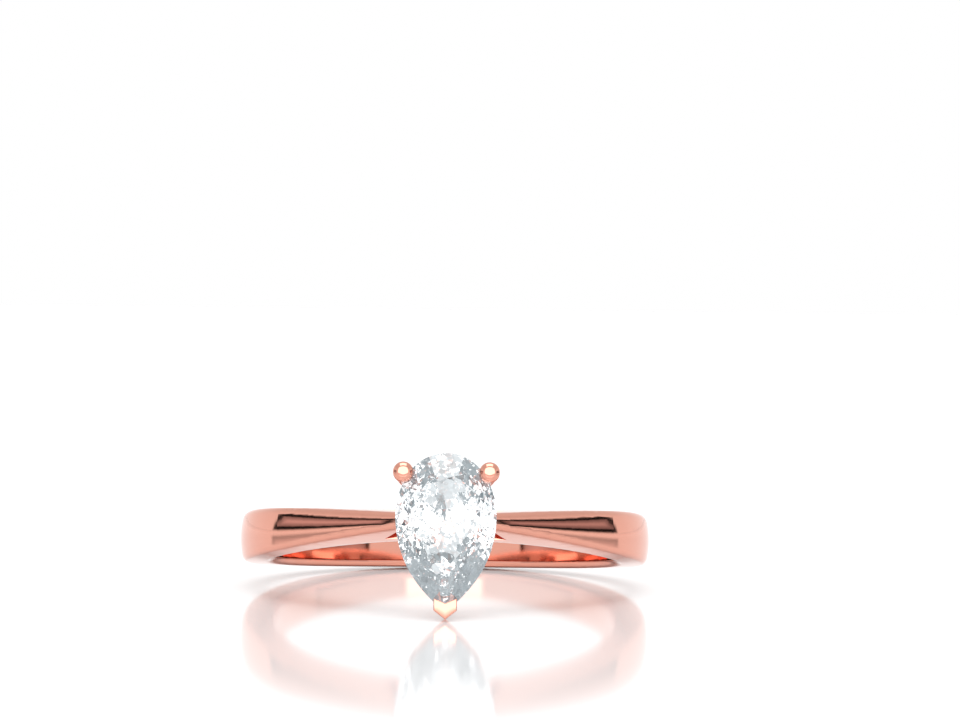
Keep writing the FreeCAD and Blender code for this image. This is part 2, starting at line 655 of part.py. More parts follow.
def make_v_claw_blank():
    """The V claw before its seat is cut: a chevron turned along a lean that carries it out to the point."""
    body = DOC.addObject("PartDesign::Body", "v_claw_blank")
    apex = size("vclaw_apex")
    half = size("vclaw_half_width")
    corner = apex + half / math.tan(math.radians(size("vclaw_half_angle")))
    points = [(0, apex), (half, corner), (half, corner + size("vclaw_arm")), (0, apex + size("vclaw_depth")),
              (-half, corner + size("vclaw_arm")), (-half, corner)]
    sketch = new_sketch(body, "XZ_Plane", "chevron", size("vclaw_top"), "dims.vclaw_top")
    for one, two in zip(points, points[1:] + points[:1]):
        sketch.addGeometry(line(*one, *two))
    for index in range(6):
        constrain(sketch, "Coincident", index, 2, (index + 1) % 6, 1)
    axis_z = apex + size("vclaw_lean")
    axis = sketch.addGeometry(line(-half, axis_z, half, axis_z), True)
    constrain(sketch, "Symmetric", axis, 1, axis, 2, -2)
    constrain(sketch, "Distance", axis, value=2 * half, name="axis", expression="2 * dims.vclaw_half_width")
    constrain(sketch, "PointOnObject", 0, 1, -2)
    constrain(sketch, "PointOnObject", 3, 1, -2)
    constrain(sketch, "Vertical", 1)
    constrain(sketch, "Symmetric", 1, 1, 5, 1, -2)
    constrain(sketch, "Symmetric", 1, 2, 4, 1, -2)
    constrain(sketch, "DistanceY", -1, 1, 0, 1, value=apex, name="apex", expression="dims.vclaw_apex")
    constrain(sketch, "DistanceX", -1, 1, 1, 1, value=half, name="half", expression="dims.vclaw_half_width")
    constrain(sketch, "DistanceY", 0, 1, 1, 1, value=corner - apex, name="corner",
              expression="dims.vclaw_half_width / tan(dims.vclaw_half_angle * 1 deg)")
    constrain(sketch, "DistanceY", 1, 1, 1, 2, value=size("vclaw_arm"), name="arm", expression="dims.vclaw_arm")
    constrain(sketch, "DistanceY", 0, 1, 3, 1, value=size("vclaw_depth"), name="depth",
              expression="dims.vclaw_depth")
    constrain(sketch, "DistanceY", 0, 1, axis, 1, value=size("vclaw_lean"), name="lean",
              expression="dims.vclaw_lean")
    turn = body.newObject("PartDesign::Revolution", "lean")
    turn.Profile = sketch
    turn.ReferenceAxis = (sketch, ["Axis0"])
    fall = size("vclaw_top") - size("base_top")
    inmost = size("vclaw_lean") - size("vclaw_depth") - size("vclaw_arm")
    turn.Angle = math.degrees(math.asin(fall / max(fall, inmost)))
    turn.setExpression("Angle", "asin((dims.vclaw_top - dims.base_top) / max(dims.vclaw_top - dims.base_top; "
                                "dims.vclaw_lean - dims.vclaw_depth - dims.vclaw_arm))")
    DOC.recompute()
    if turn.Shape.BoundBox.YMin < -size("vclaw_top") - TOUCH:
        turn.Reversed = True
        DOC.recompute()
    foot = new_sketch(body, "XZ_Plane", "foot", size("base_top"), "dims.base_top")
    foot.addGeometry(Part.Circle(V(0, 0, 0), V(0, 0, 1), REACH))
    constrain(foot, "Coincident", 0, 3, -1, 1)
    constrain(foot, "Radius", 0, value=REACH, name="all_round", expression="dims.reach")
    pocket_through(body, foot, "foot_cut")
    round_edges(body, "edges", lambda e: at_height(e, size("vclaw_top")), size("vclaw_edge"), "dims.vclaw_edge")
    return body


def make_round_claw_blank():
    """The round claw at +X before its seat is cut: a wire bent outwards along an arc, with a domed top and
    its foot cut level with the top of the lower rail."""
    angle = math.radians(size("claw_angle"))
    outward = V(math.sin(angle), 0, math.cos(angle))
    reach = size("round_radius") + size("claw_offset") - size("claw_lean")
    centre = V(0, -size("claw_top"), size("stone_station") + size("round_centre")) + outward * reach
    wire = DOC.addObject("Part::Torus", "claw_wire")
    wire.Radius1 = size("claw_lean")
    wire.setExpression("Radius1", "dims.claw_lean")
    wire.Radius2 = size("claw_diameter") / 2
    wire.setExpression("Radius2", "dims.claw_diameter / 2")
    wire.setExpression("Angle3", "asin((dims.claw_top - dims.base_top + dims.claw_diameter / 2)"
                                 " / dims.claw_lean)")
    down = V(0, 1, 0)
    wire.Placement = FreeCAD.Placement(centre, FreeCAD.Rotation(outward, down, outward.cross(down), "XYZ"))
    DOC.recompute()
    dome = DOC.addObject("Part::Fillet", "claw_dome")
    dome.Base = wire
    dome.Edges = [(i, size("claw_dome"), size("claw_dome")) for i, edge in enumerate(wire.Shape.Edges, start=1)
                  if at_height(edge, size("claw_top"))]
    DOC.recompute()
    above = DOC.addObject("Part::Box", "above_base")
    for attribute in ("Length", "Width", "Height"):
        setattr(above, attribute, 2 * REACH)
        above.setExpression(attribute, "2 * dims.reach")
    above.Placement.Base = V(-REACH, -size("base_top") - 2 * REACH, -REACH)
    above.setExpression("Placement.Base.x", "-dims.reach")
    above.setExpression("Placement.Base.y", "-dims.base_top - 2 * dims.reach")
    above.setExpression("Placement.Base.z", "-dims.reach")
    blank = DOC.addObject("Part::Common", "claw_blank")
    blank.Base = dome
    blank.Tool = above
    DOC.recompute()
    return blank


def cut_from(label, base, *tools):
    """One piece with the shapes of its neighbours taken out of it."""
    tool = tools[0]
    if len(tools) > 1:
        tool = DOC.addObject("Part::MultiFuse", label + "_tools")
        tool.Shapes = list(tools)
    piece = DOC.addObject("Part::Cut", label)
    piece.Base = base
    piece.Tool = tool
    DOC.recompute()
    return piece


SEAT_BODY = make_seat_rail()
V_BLANK = make_v_claw_blank()
CLAW = cut_from("claw_right", make_round_claw_blank(), STONE, SEAT_BODY)
PIECES = {
    "shank": SHANK,
    "shoulder_left": mirrored("shoulder_left", SHOULDER),
    "shoulder_right": SHOULDER,
    "base_rail": make_base_rail(),
    "seat_rail": cut_from("seat_rail", SEAT_BODY, V_BLANK, STONE),
    "claw_left": mirrored("claw_left", CLAW),
    "claw_right": CLAW,
    "v_claw": cut_from("v_claw", V_BLANK, STONE),
    "pear_diamond": STONE,
}


# ---------------------------------------------------------------- rest position and export

def rest_tilt():
    """Angle of the finger axis when the ring lies down: the common tangent of two circles seen along X,
    the V claw's outer curve and the rounded lower edge of the band's back."""
    claw_radius = size("vclaw_lean")
    claw_y = -size("vclaw_top")
    claw_z = size("vclaw_apex") + claw_radius
    edge_radius = size("edge_radius")
    back_y = size("outer_radius") - edge_radius
    back_z = edge_radius - size("back_width") / 2
    span = math.hypot(back_y - claw_y, claw_z - back_z)
    return math.asin((claw_radius - edge_radius) / span) - math.atan2(claw_z - back_z, back_y - claw_y)


def rest_placement():
    """Lean the ring by its rest tilt and bring the middle of its footprint to the origin, on the table."""
    lean = FreeCAD.Placement(V(0, 0, 0), FreeCAD.Rotation(V(1, 0, 0), -math.degrees(rest_tilt())))
    whole = Part.makeCompound([piece.Shape for piece in PIECES.values()])
    whole.Placement = lean
    box = whole.optimalBoundingBox()
    shift = V(-box.Center.x, -box.Center.y, -box.ZMin)
    return FreeCAD.Placement(shift, FreeCAD.Rotation()).multiply(lean)


DOC.recompute()
for item in DOC.Objects:
    if "Invalid" in item.State or "Error" in item.State:
        raise RuntimeError("%s failed: %s" % (item.Label, item.State))

REST = rest_placement()
os.makedirs("parts", exist_ok=True)
for label, piece in PIECES.items():
    piece.Label = label
    if piece.Shape.isNull() or not piece.Shape.isValid():
        raise RuntimeError(label + " has no valid shape")
    piece.Placement = REST
for label, piece in PIECES.items():
    shape = piece.Shape
    if len(shape.Solids) != 1:
        raise RuntimeError("%s is %d solids" % (label, len(shape.Solids)))
    shape.exportStep("parts/%s.step" % label)
    print("%-15s %8.3f mm3" % (label, shape.Volume))
print("rest tilt %.2f degrees" % math.degrees(rest_tilt()))
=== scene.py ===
"""Engagement ring with a pear-cut stone: its polished rose gold, its stone and the studio around it."""

import json
import logging
import math
from dataclasses import dataclass, field
from enum import Enum

import bmesh
import bpy
import numpy as np
from mathutils import Matrix, Vector


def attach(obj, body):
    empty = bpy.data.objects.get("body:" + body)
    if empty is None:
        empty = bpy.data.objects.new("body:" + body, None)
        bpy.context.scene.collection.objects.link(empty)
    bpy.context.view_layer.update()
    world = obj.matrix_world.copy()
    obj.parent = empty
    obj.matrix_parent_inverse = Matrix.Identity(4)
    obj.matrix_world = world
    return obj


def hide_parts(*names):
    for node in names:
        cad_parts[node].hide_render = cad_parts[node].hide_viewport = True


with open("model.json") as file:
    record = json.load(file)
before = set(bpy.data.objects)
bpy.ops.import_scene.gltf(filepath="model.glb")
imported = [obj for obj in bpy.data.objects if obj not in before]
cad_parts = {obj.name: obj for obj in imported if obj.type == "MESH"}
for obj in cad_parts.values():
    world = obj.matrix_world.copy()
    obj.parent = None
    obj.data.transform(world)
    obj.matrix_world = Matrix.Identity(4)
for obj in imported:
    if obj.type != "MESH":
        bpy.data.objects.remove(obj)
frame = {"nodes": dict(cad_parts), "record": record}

LOG = logging.getLogger("ring")
MM = 0.001
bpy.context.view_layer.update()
LARGE_FACES_LEAD = 100


# ---------------------------------------------------------------- shared helpers

class Shading(Enum):
    """How a piece's faces take the light."""

    POLISHED = "polished"
    FACETED = "faceted"


def new_piece(name: str, bm: bmesh.types.BMesh, shading: Shading, crease: float = 35.0) -> bpy.types.Object:
    """Turn a finished bmesh into an object at the origin.

    Args:
        name: the object's name.
        bm: the mesh, in metres in the row frame; it is freed.
        shading: smooth with creases kept sharp, or flat.
        crease: angle in degrees from which an edge stays sharp.

    Returns:
        The new object, linked to the scene.
    """
    for face in bm.faces:
        face.smooth = shading is Shading.POLISHED
    limit = math.radians(crease)
    for edge in bm.edges:
        edge.smooth = not (len(edge.link_faces) == 2 and edge.calc_face_angle(0.0) > limit)
    mesh = bpy.data.meshes.new(name)
    bm.to_mesh(mesh)
    bm.free()
    piece = bpy.data.objects.new(name, mesh)
    bpy.context.scene.collection.objects.link(piece)
    return piece


def settle(piece: bpy.types.Object, material: bpy.types.Material, slot: str, *nodes: str) -> None:
    """Dress a piece, let it ride on the ring and say which CAD nodes it stands for.

    Args:
        piece: the finished object.
        material: its finish.
        slot: the record's material slot; not used.
        nodes: names of the CAD nodes it replaces.
    """
    piece.data.materials.clear()
    piece.data.materials.append(material)
    even = piece.modifiers.new("even_normals", "WEIGHTED_NORMAL")
    even.mode = "FACE_AREA"
    even.weight = LARGE_FACES_LEAD
    even.keep_sharp = True
    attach(piece, "root")
    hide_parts(*nodes)
    LOG.info("%s: %d faces, stands for %s", piece.name, len(piece.data.polygons), ", ".join(nodes))


def ring_to_row() -> Matrix:
    """Find the lean that lays the ring's own frame, with the finger axis along Z, in its rest position.

    Returns:
        The placement, in metres.
    """
    mount = frame["record"]["mounts"][0]
    axis = Vector(mount["axis"])
    lean = math.atan2(axis.y, axis.z)
    return Matrix.Translation(Vector(mount["pos_m"])) @ Matrix.Rotation(-lean, 4, "X")


# ---------------------------------------------------------------- finishes

class NodeTree:
    """A short way to write the node tree of a material or of the sky."""

    def __init__(self, owner: bpy.types.Material | bpy.types.World) -> None:
        """Empty the owner's tree and keep it.

        Args:
            owner: the material or world whose nodes are made.
        """
        owner.use_nodes = True
        self.tree = owner.node_tree
        self.tree.nodes.clear()

    def add(self, kind: str, **settings: object) -> bpy.types.Node:
        """Add a node and set its properties.

        Args:
            kind: the node's type name.
            settings: properties of the node by name.

        Returns:
            The new node.
        """
        node = self.tree.nodes.new(kind)
        for key, value in settings.items():
            setattr(node, key, value)
        return node

    def link(self, start: bpy.types.Node, output: str | int, end: bpy.types.Node, socket: str | int) -> None:
        """Link an output to an input.

        Args:
            start: node that gives the value.
            output: name or number of its output.
            end: node that takes the value.
            socket: name or number of its input.
        """
        self.tree.links.new(start.outputs[output], end.inputs[socket])

    def noise(self, place: bpy.types.Node, scale: float, detail: float) -> bpy.types.Node:
        """A noise texture that follows the object's own coordinates.

        Args:
            place: the node that gives the coordinates, through its Vector or Object output.
            scale: features per metre.
            detail: number of finer layers.

        Returns:
            The noise node.
        """
        noise = self.add("ShaderNodeTexNoise")
        noise.inputs["Scale"].default_value = scale
        noise.inputs["Detail"].default_value = detail
        output = "Object" if "Object" in place.outputs else "Vector"
        self.link(place, output, noise, "Vector")
        return noise

    def spread(self, source: bpy.types.Node, output: str, low: float, high: float) -> bpy.types.Node:
        """Spread a value from 0 to 1 over a range.

        Args:
            source: node that gives the value.
            output: name of its output.
            low: result at 0.
            high: result at 1.

        Returns:
            The range node, whose Result output is used.
        """
        spread = self.add("ShaderNodeMapRange")
        spread.inputs["To Min"].default_value = low
        spread.inputs["To Max"].default_value = high
        self.link(source, output, spread, "Value")
        return spread

    def ramp(self, stops: list[tuple[float, tuple[float, float, float]]], blend: str) -> bpy.types.Node:
        """Add a colour ramp.

        Args:
            stops: position from 0 to 1 and colour of each stop, in order.
            blend: how the ramp runs between its stops.

        Returns:
            The ramp node.
        """
        ramp = self.add("ShaderNodeValToRGB")
        ramp.color_ramp.interpolation = blend
        elements = ramp.color_ramp.elements
        while len(elements) < len(stops):
            elements.new(0.5)
        for element, (position, colour) in zip(elements, stops):
            element.position = position
            element.color = (*colour, 1.0)
        return ramp


@dataclass(frozen=True)
class RoseGold:
    """Mirror-polished rose gold, with the faint cloudiness and hairlines that a buffing wheel leaves."""

    colour: tuple[float, float, float] = (0.76, 0.365, 0.275)
    warm: tuple[float, float, float] = (0.73, 0.335, 0.25)
    smoothest: float = 0.05
    roughest: float = 0.09
    cloud_scale: float = 900.0
    hairline_scale: float = 5200.0
    hairline_stretch: float = 9.0
    hairline_depth: float = 1.2e-7

    def material(self) -> bpy.types.Material:
        """Build the metal.

        Returns:
            The material.
        """
        material = bpy.data.materials.new("rose_gold_polished")
        tree = NodeTree(material)
        place = tree.add("ShaderNodeTexCoord")
        clouds = tree.noise(place, self.cloud_scale, 3.0)
        tone = tree.add("ShaderNodeMix", data_type="RGBA")
        tone.inputs["A"].default_value = (*self.colour, 1.0)
        tone.inputs["B"].default_value = (*self.warm, 1.0)
        tree.link(clouds, "Fac", tone, "Factor")
        stretch = tree.add("ShaderNodeMapping")
        stretch.inputs["Scale"].default_value = (1.0, 1.0, self.hairline_stretch)
        tree.link(place, "Object", stretch, "Vector")
        hairlines = tree.noise(stretch, self.hairline_scale, 4.0)
        rough = tree.spread(hairlines, "Fac", self.smoothest, self.roughest)
        bump = tree.add("ShaderNodeBump")
        bump.inputs["Strength"].default_value = 1.0
        bump.inputs["Distance"].default_value = self.hairline_depth
        tree.link(hairlines, "Fac", bump, "Height")
        shader = tree.add("ShaderNodeBsdfPrincipled")
        shader.inputs["Metallic"].default_value = 1.0
        tree.link(tone, "Result", shader, "Base Color")
        tree.link(rough, "Result", shader, "Roughness")
        tree.link(bump, "Normal", shader, "Normal")
        tree.link(shader, "BSDF", tree.add("ShaderNodeOutputMaterial"), "Surface")
        return material


@dataclass(frozen=True)
class Diamond:
    """A clear cut stone: polished facets whose normals tilt in small cells, each cell with a faint painted
    glow, and a frosted girdle.
    """

    index: float = 2.417
    tint: tuple[float, float, float] = (0.985, 0.995, 1.0)
    # Painted glow: the stone is no lamp, yet its cells glow between these two emission colours to stand in
    # for caught light.
    painted_sparkle_colour: tuple[float, float, float] = (0.80, 0.93, 1.0)
    dim_painted_glow_colour: tuple[float, float, float] = (0.02, 0.06, 0.08)
    painted_glow_strength: float = 0.09
    polish: float = 0.0
    frost_range: tuple[float, float] = (0.196, 0.364)
    girdle_share: float = 0.49
    grain_scale: float = 30000.0
    cell_scale: float = 2600.0
    cell_tilt: float = 0.24

    def material(self, lie: Matrix, girdle: float, thickness: float) -> bpy.types.Material:
        """Build the stone's finish, frosted only between the girdle's two edges, with a faint painted glow
        in small cells.

        Args:
            lie: the ring's rest placement.
            girdle: height of the girdle's middle above the finger axis, in metres.
            thickness: the girdle's thickness, in metres.

        Returns:
            The material.
        """
        material = bpy.data.materials.new("diamond_clear")
        tree = NodeTree(material)
        place = tree.add("ShaderNodeTexCoord")
        turned = tree.add("ShaderNodeMapping")
        back = lie.inverted()
        turned.inputs["Location"].default_value = back.to_translation()
        turned.inputs["Rotation"].default_value = back.to_euler()
        tree.link(place, "Object", turned, "Vector")
        parts = tree.add("ShaderNodeSeparateXYZ")
        tree.link(turned, "Vector", parts, "Vector")
        at_girdle = tree.add("ShaderNodeMath", operation="COMPARE")
        at_girdle.inputs[1].default_value = -girdle
        at_girdle.inputs[2].default_value = thickness * self.girdle_share
        tree.link(parts, "Y", at_girdle, 0)
        grain = tree.noise(place, self.grain_scale, 2.0)
        frost = tree.spread(grain, "Fac", *self.frost_range)
        rough = tree.add("ShaderNodeMix", data_type="FLOAT")
        rough.inputs["A"].default_value = self.polish
        tree.link(at_girdle, 0, rough, "Factor")
        tree.link(frost, "Result", rough, "B")
        cells = tree.add("ShaderNodeTexVoronoi")
        cells.inputs["Scale"].default_value = self.cell_scale
        tree.link(place, "Object", cells, "Vector")
        lean = tree.add("ShaderNodeVectorMath", operation="SUBTRACT")
        lean.inputs[1].default_value = (0.5, 0.5, 0.5)
        tree.link(cells, "Color", lean, 0)
        tilt = tree.add("ShaderNodeVectorMath", operation="SCALE")
        tilt.inputs["Scale"].default_value = self.cell_tilt
        tree.link(lean, "Vector", tilt, "Vector")
        tilted = tree.add("ShaderNodeVectorMath", operation="ADD")
        surface = tree.add("ShaderNodeNewGeometry")
        tree.link(surface, "Normal", tilted, 0)
        tree.link(tilt, "Vector", tilted, 1)
        unit = tree.add("ShaderNodeVectorMath", operation="NORMALIZE")
        tree.link(tilted, "Vector", unit, 0)
        shader = tree.add("ShaderNodeBsdfPrincipled")
        tree.link(unit, "Vector", shader, "Normal")
        shader.inputs["Base Color"].default_value = (*self.tint, 1.0)
        shader.inputs["Transmission Weight"].default_value = 1.0
        shader.inputs["IOR"].default_value = self.index
        # Painted sparkle: each cell's emission runs from a dim teal glow to a pale blue-white glint, set by
        # the cell's random value.
        painted_glints = tree.add("ShaderNodeMix", data_type="RGBA")
        painted_glints.inputs["A"].default_value = (*self.dim_painted_glow_colour, 1.0)
        painted_glints.inputs["B"].default_value = (*self.painted_sparkle_colour, 1.0)
        painted_glint_share = tree.add("ShaderNodeSeparateColor")
        tree.link(cells, "Color", painted_glint_share, "Color")
        tree.link(painted_glint_share, "Red", painted_glints, "Factor")
        tree.link(painted_glints, "Result", shader, "Emission Color")
        shader.inputs["Emission Strength"].default_value = self.painted_glow_strength
        tree.link(rough, "Result", shader, "Roughness")
        tree.link(shader, "BSDF", tree.add("ShaderNodeOutputMaterial"), "Surface")
        return material


@dataclass(frozen=True)
class WhiteAcrylic:
    """The table: a glossy white sheet that mirrors the ring softly."""

    colour: tuple[float, float, float] = (0.9, 0.9, 0.905)
    smoothest: float = 0.085
    roughest: float = 0.11
    index: float = 2.0
    cloud_scale: float = 40.0

    def material(self) -> bpy.types.Material:
        """Build the table's finish.

        Returns:
            The material.
        """
        material = bpy.data.materials.new("white_acrylic")
        tree = NodeTree(material)
        place = tree.add("ShaderNodeTexCoord")
        clouds = tree.noise(place, self.cloud_scale, 2.0)
        rough = tree.spread(clouds, "Fac", self.smoothest, self.roughest)
        shader = tree.add("ShaderNodeBsdfPrincipled")
        shader.inputs["Base Color"].default_value = (*self.colour, 1.0)
        shader.inputs["IOR"].default_value = self.index
        tree.link(rough, "Result", shader, "Roughness")
        tree.link(shader, "BSDF", tree.add("ShaderNodeOutputMaterial"), "Surface")
        return material


# ---------------------------------------------------------------- band and shoulders

@dataclass
class Band:
    """The tapered comfort-fit band and the two cathedral shoulders, with a softly crowned outside.

    Sizes are in millimetres, in the ring's own frame: the finger axis is Z and the head stands towards -Y.
    """

    lie: Matrix
    gold: bpy.types.Material
    finger_radius: float = 8.35
    thickness: float = 1.6
    side_width: float = 2.3
    back_width: float = 1.25
    ridge_width: float = 0.66
    widest_station: float = -1.5
    edge_radius: float = 0.28
    comfort_radius: float = 0.33
    seam_angle: float = 52.0
    ridge_half_span: float = 1.95
    ridge_height: float = 11.2
    crown_share: float = 0.13
    crown_depth: float = 0.6
    snap: float = 0.02
    middle_share: float = 0.4
    face_tolerance: float = 1e-6
    edge_steps: int = 9
    across_steps: int = 13
    band_steps: int = 220
    shoulder_steps: int = 48
    weld: float = 1e-4
    cut_tolerance: float = 1e-5
    sliver: float = 5e-4

    @property
    def outer_radius(self) -> float:
        """Find the outside of the band, away from the shoulders.

        Returns:
            Its radius, in millimetres.
        """
        return self.finger_radius + self.thickness

    def half_width(self, y: float) -> float:
        """Half the band's width at a place along Y: two arcs, tangent at the widest station.

        Args:
            y: the place, in millimetres.

        Returns:
            Half the width, in millimetres.
        """
        half_side = self.side_width / 2
        if y < self.widest_station:
            run = self.ridge_height + self.widest_station
            drop = half_side - self.ridge_width / 2
        else:
            run = self.outer_radius - self.widest_station
            drop = half_side - self.back_width / 2
        radius = (run ** 2 + drop ** 2) / (2 * drop)
        return half_side - radius + math.sqrt(radius ** 2 - (y - self.widest_station) ** 2)

    def arch(self) -> tuple[Vector, float]:
        """Where the shoulder's outer edge runs.

        Returns:
            Centre and radius of its arc, which is tangent to the band at the seam.
        """
        seam = math.radians(self.seam_angle)
        along = Vector((math.sin(seam), -math.cos(seam)))
        start = along * self.outer_radius
        span = Vector((self.ridge_half_span, -self.ridge_height)) - start
        radius = -span.length_squared / (2 * span.dot(along))
        return start - along * radius, radius

    def reach(self, x: float, y: float) -> float:
        """Distance from the finger axis to the metal's outside, in the direction of a point.

        Args:
            x: the point across the finger, in millimetres.
            y: the point along the head's direction.

        Returns:
            The outside's distance, in millimetres.
        """
        along = Vector((abs(x), y)).normalized()
        if math.degrees(math.atan2(along.x, -along.y)) >= self.seam_angle:
            return self.outer_radius
        centre, radius = self.arch()
        middle = along.dot(centre)
        return middle + math.sqrt(max(middle ** 2 - centre.length_squared + radius ** 2, 0.0))

    def shortfall(self, bm: bmesh.types.BMesh) -> tuple[np.ndarray, np.ndarray]:
        """Measure how far the middle of the outside lies within its true arc, bearing by bearing.

        Args:
            bm: the mesh in millimetres, in the ring's frame.

        Returns:
            Bearings from the head in radians, ascending, and the shortfall at each.
        """
        found = []
        for vert in bm.verts:
            x, y, z = vert.co
            gap = self.reach(x, y) - math.hypot(x, y)
            if abs(z) < self.half_width(y) * self.middle_share and abs(gap) < self.snap:
                found.append((math.atan2(x, -y), gap))
        found.sort()
        bearings, gaps = zip(*found)
        return np.array(bearings), np.array(gaps)

    def crown(self, bm: bmesh.types.BMesh) -> None:
        """Bring the outside out to its true arc, and sink its edges by a share of the local half width.

        Args:
            bm: the mesh in millimetres, in the ring's frame.
        """
        bearings, gaps = self.shortfall(bm)
        for vert in bm.verts:
            x, y, z = vert.co
            distance = math.hypot(x, y)
            near = min(1 - (self.reach(x, y) - distance) / self.crown_depth, 1.0)
            if near > 0:
                half = self.half_width(y)
                sink = self.crown_share * half * min(abs(z) / half, 1.0) ** 2
                sink = (sink - float(np.interp(math.atan2(x, -y), bearings, gaps))) * near
                vert.co.x -= x / distance * sink
                vert.co.y -= y / distance * sink

    def section(self, bearing: float) -> bmesh.types.BMesh:
        """The band's rounded section, standing on the finger at a bearing from the head.

        Args:
            bearing: angle from the head towards +X, in radians.

        Returns:
            A bmesh with one face.
        """
        bm = bmesh.new()
        along = Vector((math.sin(bearing), -math.cos(bearing), 0))
        half = self.side_width / 2
        corners = [bm.verts.new(along * reach + Vector((0, 0, level)))
                   for reach, level in ((self.finger_radius, -half), (self.outer_radius, -half),
                                        (self.outer_radius, half), (self.finger_radius, half))]
        bm.faces.new(corners)
        outer, inner = corners[1:3], [corners[0], corners[3]]
        for pair, radius in ((outer, self.edge_radius), (inner, self.comfort_radius)):
            bmesh.ops.bevel(bm, geom=pair, offset=radius, offset_type="OFFSET", affect="VERTICES",
                            segments=self.edge_steps, profile=0.5, material=-1)
        flats = [edge for edge in bm.edges if edge.calc_length() > self.comfort_radius]
        bmesh.ops.subdivide_edges(bm, edges=flats, cuts=self.across_steps, use_grid_fill=False)
        return bm

    def sweep(self, start: float, end: float, steps: int) -> bmesh.types.BMesh:
        """Spin the section from one bearing to another and close both ends.

        Args:
            start: first bearing from the head, in radians.
            end: last bearing.
            steps: number of steps between them.

        Returns:
            The closed mesh, still of one width and thickness, in millimetres.
        """
        bm = self.section(start)
        bmesh.ops.delete(bm, geom=bm.faces[:], context="FACES_ONLY")
        bmesh.ops.spin(bm, geom=bm.verts[:] + bm.edges[:], cent=(0, 0, 0), axis=(0, 0, 1), dvec=(0, 0, 0),
                       angle=end - start, steps=steps, use_merge=False, use_duplicate=False)
        rim = [edge for edge in bm.edges if edge.is_boundary]
        bmesh.ops.holes_fill(bm, edges=rim, sides=0)
        return bm

    def taper(self, bm: bmesh.types.BMesh) -> None:
        """Draw the two side faces in to the band's width, moving each rounding with its face.

        Args:
            bm: a swept mesh of one width, in millimetres.
        """
        full = self.side_width / 2
        for vert in bm.verts:
            inside = vert.co.xy.length < self.finger_radius + self.thickness / 2
            radius = self.comfort_radius if inside else self.edge_radius
            half = self.half_width(vert.co.y)
            if abs(vert.co.z) > full - radius - self.face_tolerance:
                vert.co.z -= math.copysign(full - half, vert.co.z)
            else:
                vert.co.z *= (half - radius) / (full - radius)

    def lay(self, bm: bmesh.types.BMesh, name: str, *nodes: str) -> bpy.types.Object:
        """Crown a mesh, lay it in its rest position and dress it.

        Args:
            bm: the mesh in millimetres, in the ring's frame.
            name: the object's name.
            nodes: the CAD nodes it stands for.

        Returns:
            The piece.
        """
        self.crown(bm)
        bmesh.ops.recalc_face_normals(bm, faces=bm.faces[:])
        bm.transform(self.lie @ Matrix.Scale(MM, 4))
        piece = new_piece(name, bm, Shading.POLISHED)
        settle(piece, self.gold, "rose_gold", *nodes)
        return piece

    def build_shank(self) -> bpy.types.Object:
        """Sweep the band from one seam round the back to the other.

        Returns:
            The piece.
        """
        seam = math.radians(self.seam_angle)
        bm = self.sweep(seam, 2 * math.pi - seam, self.band_steps)
        self.taper(bm)
        return self.lay(bm, "polished_band", "shank")

    def build_shoulder(self, name: str, node: str) -> bpy.types.Object:
        """Polish one cathedral shoulder: its solid, gridded finely enough to take the crown.

        Args:
            name: the piece's name.
            node: the CAD node that it is made from.

        Returns:
            The piece.
        """
        bm = bmesh.new()
        bm.from_mesh(frame["nodes"][node].data)
        bm.transform(Matrix.Scale(1 / MM, 4) @ self.lie.inverted())
        bmesh.ops.remove_doubles(bm, verts=bm.verts[:], dist=self.weld)
        half = self.side_width / 2
        for step in range(1, 2 * self.across_steps):
            level = half * (step / self.across_steps - 1)
            bmesh.ops.bisect_plane(bm, geom=bm.verts[:] + bm.edges[:] + bm.faces[:], dist=self.cut_tolerance,
                                   plane_co=(0, 0, level), plane_no=(0, 0, 1))
        for step in range(1, self.shoulder_steps):
            bearing = math.radians(self.seam_angle) * (2 * step / self.shoulder_steps - 1)
            bmesh.ops.bisect_plane(bm, geom=bm.verts[:] + bm.edges[:] + bm.faces[:], dist=self.cut_tolerance,
                                   plane_co=(0, 0, 0), plane_no=(math.cos(bearing), math.sin(bearing), 0))
        bmesh.ops.remove_doubles(bm, verts=bm.verts[:], dist=self.sliver)
        return self.lay(bm, name, node)

    def build(self) -> list[bpy.types.Object]:
        """Build the band and both shoulders.

        Returns:
            The new pieces.
        """
        return [self.build_shank(), self.build_shoulder("left_shoulder", "shoulder_left"),
                self.build_shoulder("right_shoulder", "shoulder_right")]


@dataclass
class SmallParts:
    """The rails and claws: filed and turned shapes, polished with their edges kept."""

    gold: bpy.types.Material
    nodes: dict[str, str] = field(default_factory=lambda: {
        "lower_rail": "base_rail",
        "upper_rail": "seat_rail",
        "left_claw": "claw_left",
        "right_claw": "claw_right",
        "point_claw": "v_claw",
    })
    weld: float = 1e-7
    crease: float = 28.0

    def build(self) -> list[bpy.types.Object]:
        """Merge and polish each piece.

        Returns:
            The new pieces.
        """
        pieces = []
        for name, node in self.nodes.items():
            bm = bmesh.new()
            bm.from_mesh(frame["nodes"][node].data)
            bmesh.ops.remove_doubles(bm, verts=bm.verts[:], dist=self.weld)
            piece = new_piece(name, bm, Shading.POLISHED, self.crease)
            settle(piece, self.gold, "rose_gold", node)
            pieces.append(piece)
        return pieces


@dataclass
class Stone:
    """The pear-cut stone, whose facets are the CAD solid's own."""

    lie: Matrix
    finish: Diamond = Diamond()
    girdle_height: float = 11.75
    girdle_thickness: float = 0.1

    def dress(self) -> None:
        """Give the stone its finish, with its faint painted glow."""
        stone = frame["nodes"]["pear_diamond"]
        material = self.finish.material(self.lie, self.girdle_height * MM, self.girdle_thickness * MM)
        stone.data.materials.clear()
        stone.data.materials.append(material)
        LOG.info("%s: %d faces, dressed as it is", stone.name, len(stone.data.polygons))


# ---------------------------------------------------------------- studio

